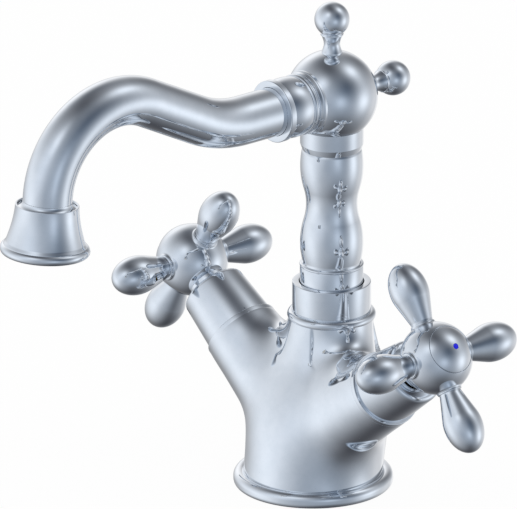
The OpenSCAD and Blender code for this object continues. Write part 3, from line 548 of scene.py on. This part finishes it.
def makeColumn(s):
    low, high = s["lowBulge"], s["lowBulge"] + s["pitch"]
    swellTurn = 2 * math.degrees(math.atan((s["bulgeR"] - s["waistR"]) / (s["pitch"] / 2)))
    total = s["pitch"] / 2 / math.sin(math.radians(swellTurn))
    big, small = total * s["bigShare"], total * (1 - s["bigShare"])
    base, r, ringR, ringTop = tap["neckTop"] - s["stemLen"], s["stemR"], s["ringR"], s["ringTop"]
    startTurn = math.degrees(math.asin((ringTop + s["swellFoot"] - low) / big))
    endTurn = math.degrees(math.asin((s["top"] - s["swellTop"] - high) / big))
    outline = [(s["boreR"], base), (r, base, 0.4)]
    for z in (s["grooveLow"], s["grooveHigh"]):
        outline += [(r, z), (s["grooveR"], z), (s["grooveR"], z + s["grooveH"]), (r, z + s["grooveH"])]
    outline += [(r, s["foot"]), (ringR, s["foot"], 0.3), (ringR, ringTop - 0.1)]
    outline += arc((ringR - s["beadIn"], ringTop + s["beadUp"]), s["beadR"], -60, 90, 12)
    outline += [(ringR - s["neckIn"], ringTop + s["neckUp"], 0.1)]
    outline += arc((s["bulgeR"] - big, low), big, startTurn, swellTurn, 40)
    outline += arc((s["waistR"] + small, (low + high) / 2), small, 180 + swellTurn, 180 - swellTurn, 48)[1:]
    outline += arc((s["bulgeR"] - big, high), big, -swellTurn, endTurn, 40)[1:]
    tailTop = s["top"] + s["tailH"]
    outline += [(s["topR"], s["top"]), (s["tailR"], s["top"]), (s["tailR"], tailTop), (s["boreR"], tailTop)]
    obj = meshObject("columnTurned", [placed(turned(outline, smooth), onColumn)])
    return finishPiece(obj, "spout", ["column"])


makeCollar(collarSet)
makeColumn(columnSet)


# Head: collar under the ball, ball, two finials
headSet = {
    "collarR": 10.7, "low": 118.0, "chamfer": 0.75, "chamferTop": 120.2, "tailR": 7.44, "tailTop": 125,
    "gap": 0.02, "chamberR": 8.6, "boreR": 6, "spoutSocketR": 9.55, "sealFoot": 4.6, "socketTop": 20,
    "studR": 2.04, "studDepth": 4.5,
}


def makeHead(s):
    ballR, low = tap["ballR"], s["low"]
    first, last = (-math.degrees(math.acos(radius / ballR)) for radius in (s["collarR"], s["tailR"]))
    under = [(x, z + tap["ballZ"]) for x, z in arc((0, 0), ballR + s["gap"], first, last, 8)]
    outline = [(s["tailR"], low), (s["collarR"] - s["chamfer"], low, 0.1),
               (s["collarR"], s["chamferTop"], 0.5)]
    collar = meshObject("headCollar", [placed(turned(outline + under, smooth), onColumn)])
    finishPiece(collar, "spout", ["head_collar"])

    ball = meshObject("ballHead", [placed(turned(arc((0, 0), ballR, -90, 90, 96), smooth), fromBall["up"])])
    cuts = [placed(turned(arc((0, 0), s["chamberR"], -90, 90, 32), 64), fromBall["up"]),
            placed(rod(s["tailR"], low - 1, s["tailTop"]), onColumn),
            placed(rod(s["boreR"], low, tap["ballZ"]), onColumn),
            placed(rod(s["spoutSocketR"], s["sealFoot"], s["socketTop"]), fromBall["front"])]
    foot = math.sqrt(ballR ** 2 - tap["finialFoot"] ** 2)
    for way in ("up", "back"):
        cuts += [placed(rod(s["boreR"], foot, s["socketTop"]), fromBall[way]),
                 placed(rod(s["studR"], foot - s["studDepth"], foot + 1), fromBall[way])]
    finishPiece(combined(ball, cut=cuts), "spout", ["ball_head"])


finialSet = {
    "knobR": 5.95, "reach": 26.95, "footH": 0.3, "studR": 2, "studLen": 4.2, "sides": 128,
    "waistR": 2.75, "waistUp": 3.2, "flare": 0.13, "flarePower": 1.7, "neckUp": 0.5, "neckDown": 0.8,
    "collarR": 3.9, "collarH": 0.5, "rootR": 3.7,
}


def makeFinial(name, way, node, s):
    footR, knobR = tap["finialFoot"], s["knobR"]
    seat = math.sqrt(tap["ballR"] ** 2 - footR ** 2)
    knobFoot = s["reach"] - math.sqrt(knobR ** 2 - s["rootR"] ** 2)
    low, high = seat + s["neckUp"], knobFoot - s["neckDown"]
    waist, stud = seat + s["waistUp"], seat - s["studLen"]
    outline = [(0, stud), (s["studR"], stud), (s["studR"], seat), (footR, seat),
               (footR, seat + s["footH"], 0.12)]
    outline += [(s["waistR"] + s["flare"] * abs(z - waist) ** s["flarePower"], z)
                for z in np.linspace(low, high, 30)]
    outline += [(s["collarR"], high + 0.06, 0.05), (s["collarR"], high + s["collarH"], 0.12),
                (s["rootR"], high + s["collarH"] + 0.12)]
    start = -math.degrees(math.asin((s["reach"] - knobFoot) / knobR))
    outline += arc((0, s["reach"]), knobR, start, 90, 48)
    obj = meshObject(name, [placed(turned(outline, s["sides"]), fromBall[way])])
    return finishPiece(obj, "spout", [node])


makeHead(headSet)
makeFinial("topFinial", "up", "top_finial", finialSet)
makeFinial("rearFinial", "back", "rear_finial", finialSet)
print("column and head made")


# Spout: ferrule, bent tube and outlet bell
spoutSet = {
    "tubeR": 8.36, "wall": 1.4, "start": 6, "runOut": 39.6,
    "riseBend": 43.8, "riseAngle": 26.8, "riseRun": 24.5,
    "dropBend": 29.6, "dropAngle": 86, "dropRun": 1.8, "socket": 7.6, "bendStep": 1.5, "sides": 144,
}


def spoutLine(s):
    at, way = np.array([tap["columnBack"], tap["ballZ"]], float), math.pi
    stations = [(at + s["start"] * np.array([-1, 0]), way)]
    at = at + s["runOut"] * np.array([-1.0, 0])
    rise = s["riseBend"], -s["riseAngle"], s["riseRun"]
    drop = s["dropBend"], s["riseAngle"] + s["dropAngle"], s["dropRun"] + s["socket"]
    for radius, angle, run in (rise, drop):
        side = 1 if angle > 0 else -1
        heart = at + side * radius * np.array([-math.sin(way), math.cos(way)])
        steps = int(abs(angle) / s["bendStep"])
        for i in range(steps + 1):
            now = way + math.radians(angle) * i / steps
            stations.append((heart - side * radius * np.array([-math.sin(now), math.cos(now)]), now))
        at, way = stations[-1]
        at = at + run * np.array([math.cos(way), math.sin(way)])
    stations.append((at, way))
    return stations


def makeSpout(s):
    verts, faces, count = [], [], s["sides"]
    stations = spoutLine(s)
    for radius in (s["tubeR"], s["tubeR"] - s["wall"]):
        for at, way in stations:
            for x, up, _ in ring(radius, 0, count):
                verts.append((x, at[0] - up * math.sin(way), at[1] + up * math.cos(way)))
    rings = len(stations)
    for i in range(rings - 1):
        for j in range(count):
            k = (j + 1) % count
            faces.append((i * count + j, i * count + k, (i + 1) * count + k, (i + 1) * count + j))
            a, b = (rings + i) * count, (rings + i + 1) * count
            faces.append((a + k, a + j, b + j, b + k))
    for i in (0, rings - 1):
        for j in range(count):
            k = (j + 1) % count
            faces.append((i * count + j, i * count + k, (rings + i) * count + k, (rings + i) * count + j))
    obj = meshObject("spoutTube", [(np.array(verts), faces)])
    return finishPiece(obj, "spout", ["spout_tube"])


ferruleSet = {
    "ringR": 10.65, "len": 26.5, "gap": 0.02, "boreGap": 0.04, "nutR": 9.51, "nutFoot": 6.5,
    "flangeOut": 0.25, "flangeH": 0.95, "coveIn": 0.75, "coveFoot": 2.38,
    "narrowUp": 2.9, "narrowEdge": 1.0, "narrowIn": 0.2, "grooveIn": 0.85, "grooveUp": 2.06,
    "barrelUp": 2.4, "barrelEnd": 2.3, "barrelIn": 0.25, "crest": 3.2, "barrelArc": 14, "frontEdge": 0.35,
}


def makeFerrule(s, tubeR):
    r, flangeR, ballR = s["ringR"], s["ringR"] + s["flangeOut"], tap["ballR"]
    foot = math.sqrt(ballR ** 2 - flangeR ** 2)
    bore, end, front, narrow = tubeR + s["boreGap"], s["len"], s["frontEdge"], foot + s["narrowUp"]
    low, high, edge = narrow + s["barrelUp"], end - s["barrelEnd"], s["narrowEdge"]
    onBall = ballR + s["gap"]
    first, last = (math.degrees(math.acos(radius / onBall)) for radius in (s["nutR"], flangeR))
    outline = [(bore, s["nutFoot"]), (s["nutR"], s["nutFoot"])] + arc((0, 0), onBall, first, last, 8)
    outline += [(flangeR, foot + s["flangeH"], 0.3), (r - 0.15, foot + 1.35, 0.3),
                (r - 0.33, foot + 2.3, 0.1), (r - s["coveIn"], foot + s["coveFoot"]),
                (r - s["coveIn"], narrow - 0.12)]
    outline += arc((r - s["narrowIn"] - edge, narrow + edge), edge, -72, 72, 14)
    outline += [(r - s["grooveIn"], narrow + s["grooveUp"]), (r - s["grooveIn"], low - 0.1)]
    outline += [(r - s["barrelIn"] - (z - low - s["crest"]) ** 2 / (2 * s["barrelArc"]), z)
                for z in np.linspace(low, high, 40)]
    outline += [(r - 0.12, high + 0.06, 0.04), (r, high + 0.2, 0.1)]
    outline += arc((r - front, end - front), front, 0, 90, 8)
    outline += [(tubeR + 0.12, end, 0.06), (bore, end - 0.15)]
    obj = meshObject("spoutFerrule", [placed(turned(outline, smooth), fromBall["front"])])
    return finishPiece(obj, "spout", ["spout_ferrule"])


bellSet = {
    "height": 17.3, "topR": 10.75, "beadR": 15.15, "beadEdge": 1.7, "beadIn": 1.3, "beadUp": 0.35,
    "flareIn": 2.1, "flareUp": 0.8, "flarePower": 1.8, "flareOut": 0.35, "lipDown": 0.3,
    "boreR": 11.54, "boreFoot": 0.5, "boreFlare": 0.56, "shoulder": 8.5, "step": 1.2, "stepIn": 1.4,
    "rimW": 0.6, "sink": 1, "coveR": 1.9, "coveFrom": 1.55, "tubeGap": 0.04,
}


def makeBell(s, spout):
    at, way = spoutLine(spout)[-1]
    mouth = at + (s["height"] - spout["socket"]) * np.array([math.cos(way), math.sin(way)])
    along, across = Vector((0, -math.cos(way), -math.sin(way))), Vector((1, 0, 0))
    place = Matrix((across, along.cross(across), along)).transposed().to_4x4()
    place.translation = Vector((0, mouth[0], mouth[1]))
    h, topR, beadR, edge, tubeR = s["height"], s["topR"], s["beadR"], s["beadEdge"], spout["tubeR"]
    low, wide = 2 * edge + s["flareUp"], beadR - s["flareIn"] - topR
    step, lipFoot = s["shoulder"] + s["step"], h - s["lipDown"]
    outline = [(s["boreR"], s["boreFoot"]), (s["boreR"] + s["boreFlare"], 0)]
    outline += arc((beadR - edge, edge), edge, -90, 70, 24) + [(beadR - s["beadIn"], 2 * edge + s["beadUp"])]
    for t in np.linspace(0, 1, 32):
        flare = wide * (1 - t) ** s["flarePower"] + s["flareOut"] * (1 - t)
        outline.append((topR + flare, low + t * (lipFoot - low)))
    rimR, sunk, boreR = topR - s["rimW"], h - s["sink"], tubeR + s["tubeGap"]
    outline += [(topR, h, 0.22), (rimR, h, 0.15), (rimR - 0.1, sunk), (tubeR + s["coveFrom"], sunk)]
    outline += arc((tubeR + 0.1 + s["coveR"], h + s["step"]), s["coveR"], -104, -178, 16)
    outline += [(boreR, h + s["step"]), (boreR, step), (tubeR - s["stepIn"], step),
                (tubeR - s["stepIn"], s["shoulder"]), (s["boreR"], s["shoulder"])]
    obj = meshObject("outletBell", [placed(turned(outline, smooth), place)])
    return finishPiece(obj, "spout", ["outlet_bell"])


makeSpout(spoutSet)
makeFerrule(ferruleSet, spoutSet["tubeR"])
makeBell(bellSet, spoutSet)
print("spout made")


# Bonnets and handles, once for each side
bonnetSet = {
    "lowR": 12.3, "highR": 11.2, "edge": 1.9, "edgeStart": 5, "wall": 1.6, "footIn": 0.3, "topIn": 0.2,
    "top": 2, "glandR": 5.94,
}


def makeBonnet(side, s):
    low, high, edge = tap["armLen"], bonnetOut, s["edge"]
    inside, gland = s["highR"] - s["wall"] - s["topIn"], high - s["top"]
    outline = [(s["lowR"] - s["wall"] - s["footIn"], low), (s["lowR"], low, 0.2)]
    outline += arc((s["highR"] - edge, high - edge), edge, s["edgeStart"], 90, 16)
    outline += [(s["glandR"], high, 0.2), (s["glandR"], gland), (inside, gland)]
    obj = meshObject(side + "Bonnet", [placed(turned(outline, smooth), onArm[side])])
    return finishPiece(obj, "base", [side + "_bonnet"])


hubSet = {
    "r": 12.3, "neckR": 6.8, "gap": 0.6, "boreR": 4.04, "webFoot": 78.7, "webTop": 4, "screwR": 2.04,
    "headR": 3.7, "capR": 8.34, "capGap": 0.12, "capDepth": 2.2, "armIn": 0.3,
    "bossR": 4.3, "bossRoot": 3, "bossFoot": 6.2, "bossSink": 0.02, "bossSides": 96, "fillet": 1.1,
    "pinR": 2.04, "pinFoot": 6.4, "pinTop": 20, "pinSides": 48,
}


def makeHub(side, s):
    r, foot, capR, fillet = s["r"], bonnetOut + s["gap"], s["capR"], s["fillet"]
    capFoot = hubC + math.sqrt(r ** 2 - (capR + s["capGap"] - 0.01) ** 2) - s["capDepth"]
    first, last = -math.degrees(math.acos(s["neckR"] / r)), math.degrees(math.acos((capR + s["capGap"]) / r))
    ballPart = [(x, z + hubC) for x, z in arc((0, 0), r, first, last, 72)]
    webTop, webFoot = hubC + s["webTop"], s["webFoot"]
    outline = [(s["boreR"], foot), (s["neckR"], foot, 0.35)] + ballPart
    outline += [(capR, ballPart[-1][1] - 0.1), (capR, capFoot), (s["headR"], capFoot), (s["headR"], webTop),
                (s["screwR"], webTop), (s["screwR"], webFoot), (s["boreR"], webFoot)]
    seat, filletR = r - s["armIn"], s["bossR"] + fillet
    filletZ = math.sqrt((r + fillet) ** 2 - filletR ** 2) - s["bossSink"]
    start = 180 + math.degrees(math.atan2(filletZ, filletR))
    end = 180 + math.degrees(math.asin((filletZ - seat) / fillet))
    outer = arc((filletR, filletZ), fillet, start, end, 14)
    boss = turned([(0, s["bossFoot"]), (s["bossRoot"], s["bossFoot"])] + outer + [(0, seat)], s["bossSides"])
    pin = rod(s["pinR"], s["pinFoot"], s["pinTop"], s["pinSides"])
    ball, ways = meshObject(side + "Hub", [placed(turned(outline, smooth), onArm[side])]), handleWays(side)
    obj = combined(ball, [placed(boss, way) for way in ways], [placed(pin, way) for way in ways])
    return finishPiece(obj, side + "_handle", [side + "_hub"])


armSet = {
    "bulbR": 6.65, "bulbLong": 9.55, "reach": 24.6, "rootR": 4.15, "rootUp": 1.9, "lugR": 4.25, "lugH": 0.4,
    "pinR": 2, "pinFoot": 6.6, "sides": 128,
}


def makeArms(side, s, seat):
    bulbR, rootR, lugR, foot = s["bulbR"], s["rootR"], s["lugR"], s["pinFoot"]
    near = (s["reach"] - seat - s["rootUp"]) * bulbR / s["bulbLong"]
    leanBack = math.atan2(near, rootR) - math.acos(bulbR / math.hypot(near, rootR))
    outline = [(0, foot), (s["pinR"], foot), (s["pinR"], seat), (lugR, seat, 0.06),
               (lugR, seat + s["lugH"], 0.15), (rootR - 0.34, seat + s["lugH"] + 0.08, 0.06),
               (rootR - 0.24, seat + 1.2, 0.8)]
    outline += [(bulbR * math.cos(a), s["reach"] + s["bulbLong"] * math.sin(a))
                for a in np.linspace(-leanBack, math.pi / 2, 64)]
    arm = turned(outline, s["sides"])
    obj = meshObject(side + "Arms", [placed(arm, way) for way in handleWays(side)])
    return finishPiece(obj, side + "_handle", [side + "_arms"])


capSet = {
    "r": 8.3, "edgeOut": 0.15, "edgeIn": 0.12, "top": 12.45, "depth": 2.2, "wall": 1.5, "floor": 1.6,
    "dotR": 0.98, "dotGap": 0.04, "dotBevel": 0.09, "pit": 0.5, "dotSides": 64,
}


def makeCap(side, s, hubR):
    r, top = s["r"], hubC + s["top"]
    edgeZ = math.sqrt(hubR ** 2 - (r + s["edgeOut"]) ** 2)
    rise = s["top"] - edgeZ
    domeR = (r ** 2 + rise ** 2) / (2 * rise)
    first = 90 - math.degrees(math.asin((r - s["edgeIn"]) / domeR))
    last = 90 - math.degrees(math.asin((s["dotR"] + s["dotBevel"]) / domeR))
    foot, pitR, pitFoot = hubC + edgeZ - s["depth"], s["dotR"] + s["dotGap"], top - s["pit"]
    floor = foot + s["floor"]
    outline = [(0, floor), (r - s["wall"], floor), (r - s["wall"], foot), (r, foot), (r, hubC + edgeZ - 0.15)]
    outline += [(x, z + top - domeR) for x, z in arc((0, 0), domeR, first, last, 48)]
    outline += [(pitR, top - 0.1), (pitR, pitFoot), (0, pitFoot)]
    cap = meshObject(side + "IndexCap", [placed(turned(outline), onArm[side])])
    finishPiece(cap, side + "_handle", [side + "_index_cap"])
    dotR = s["dotR"]
    dot = turned([(0, pitFoot), (dotR, pitFoot), (dotR, top - 0.04, 0.1), (0, top + 0.02)], s["dotSides"])
    piece = meshObject(side + "IndexDot", [placed(dot, onArm[side])])
    finishPiece(piece, side + "_handle", [side + "_index_dot"], "blue_dot" if side == "cold" else "red_dot")


for side in signs:
    makeBonnet(side, bonnetSet)
    makeHub(side, hubSet)
    makeArms(side, armSet, hubSet["r"] - hubSet["armIn"])
    makeCap(side, capSet, hubSet["r"])
print("handles made")


# Stage: white floor, white sky, and a tent of soft light that only reflections see
stageSet = {
    "floorSize": 30, "floorGrey": 0.9, "floorLit": 0.96, "skyForShade": 0.95,
    "tentRadius": 3.0, "tentUp": 0.08, "tentFaces": 5,  # metres, and how finely the tent is divided
    "base": (0.46, 0.48, 0.51), "darkest": (0.03, 0.035, 0.04),
}
tentTints = {
    "cool": (0.95, 1.0, 1.055), "blue": (0.89, 0.99, 1.12), "deep": (-0.1, 0.9, 2.2),
    "warm": (1.035, 1.0, 0.965), "plain": (1, 1, 1),
}
tentLights = [  # azimuth, elevation, sharpness, brightness and tint; dark cards are below zero
    (151, 52, 27.7, 0.66, "cool"),
    (136, -10, 16.5, 0.63, "cool"),
    (97, 31, 6.4, -0.344, "cool"),
    (202, 23, 8.6, -0.284, "cool"),
    (73, 1, 31, 0.248, "blue"),
    (17, 46, 27.5, 0.42, "cool"),
    (301, -4, 4, 0.449, "cool"),
    (246, 16, 11.3, 0.635, "warm"),
    (336, 68, 5.1, -0.66, "cool"),
    (219, -74, 3.4, -0.385, "cool"),
    (182, -20, 12, 0.362, "warm"),
    (247, 49, 17.5, -0.189, "plain"),
    (342, 58, 8.7, 0.441, "cool"),
    (73, -50, 5.8, -0.239, "blue"),
    (32, -5, 24.6, -0.068, "plain"),
    (334, -21, 10.4, 0.27, "cool"),
    (224, 4, 40, 0.294, "warm"),
    (70, -4, 2, 0.042, "deep"),
    (358, 22, 8.4, 0.302, "blue"),
    (144, 29, 27.7, 0.126, "cool"),
    (212, -20, 36.6, 0.517, "warm"),
    (267, -34, 8.4, -0.17, "blue"),
]


def makeTent(s):
    material, g = newMaterial("tent of soft light")
    way = g.add("VectorMath", {"operation": "NORMALIZE"}, {0: g.add("TexCoord", out="Object")})
    total = g.add("CombineXYZ", {}, dict(enumerate(s["base"])))
    for azimuth, elevation, sharpness, brightness, tint in tentLights:
        a, e = math.radians(azimuth), math.radians(elevation)
        aim = (math.sin(a) * math.cos(e), -math.cos(a) * math.cos(e), math.sin(e))
        near = g.add("VectorMath", {"operation": "DOT_PRODUCT"}, {0: way, 1: aim}, out="Value")
        glow = g.add("Math", {"operation": "EXPONENT"}, {0: (near - 1) * sharpness})
        colour = [brightness * c for c in tentTints[tint]]
        total = g.add("VectorMath", {"operation": "MULTIPLY_ADD"}, {0: colour, 1: glow, 2: total})
    total = g.add("VectorMath", {"operation": "MAXIMUM"}, {0: total, 1: s["darkest"]})
    g.add("OutputMaterial", {}, {"Surface": g.add("Emission", {}, {"Color": total, "Strength": 1.0})})
    mesh = bpy.data.meshes.new("tent")
    work = bmesh.new()
    bmesh.ops.create_icosphere(work, subdivisions=s["tentFaces"], radius=s["tentRadius"])
    work.to_mesh(mesh)
    work.free()
    mesh.materials.append(material)
    tent = bpy.data.objects.new("tent", mesh)
    tent.location = (0, 0, s["tentUp"])
    bpy.context.collection.objects.link(tent)
    tent.visible_camera = tent.visible_diffuse = tent.visible_transmission = tent.visible_shadow = False


def seenBare(g):
    # White for the camera and for what metal and glass show
    rays = ("Is Camera Ray", "Is Glossy Ray", "Is Transmission Ray")
    path = [g.add("LightPath", out=name) for name in rays]
    return g.add("Math", {"operation": "MINIMUM"}, {0: path[0] + path[1] + path[2], 1: 1})


def makeFloor(s):
    material, g = newMaterial("white floor")
    diffuse = g.add("BsdfDiffuse", {}, {"Color": grey(s["floorGrey"])})
    white = g.add("Emission", {}, {"Color": grey(1), "Strength": 1.0})
    mixed = g.add("MixShader", {}, {0: seenBare(g) * s["floorLit"], 1: diffuse, 2: white})
    g.add("OutputMaterial", {}, {"Surface": mixed})
    half = s["floorSize"] / 2
    mesh = bpy.data.meshes.new("floor")
    corners = [(-half, -half, 0), (half, -half, 0), (half, half, 0), (-half, half, 0)]
    mesh.from_pydata(corners, [], [(0, 1, 2, 3)])
    mesh.materials.append(material)
    floor = bpy.data.objects.new("floor", mesh)
    bpy.context.collection.objects.link(floor)
    floor.visible_glossy = False  # the tap reflects the tent


def makeSky(s):
    world = bpy.data.worlds.new("white sky")
    world.use_nodes = True
    bpy.context.scene.world = world
    g = Graph(world.node_tree)
    bare = seenBare(g)
    sky = g.add("Background", {}, {"Color": grey(1), "Strength": bare + (1 - bare) * s["skyForShade"]})
    g.add("OutputWorld", {}, {"Surface": sky})


makeTent(stageSet)
makeFloor(stageSet)
makeSky(stageSet)
print("stage made")
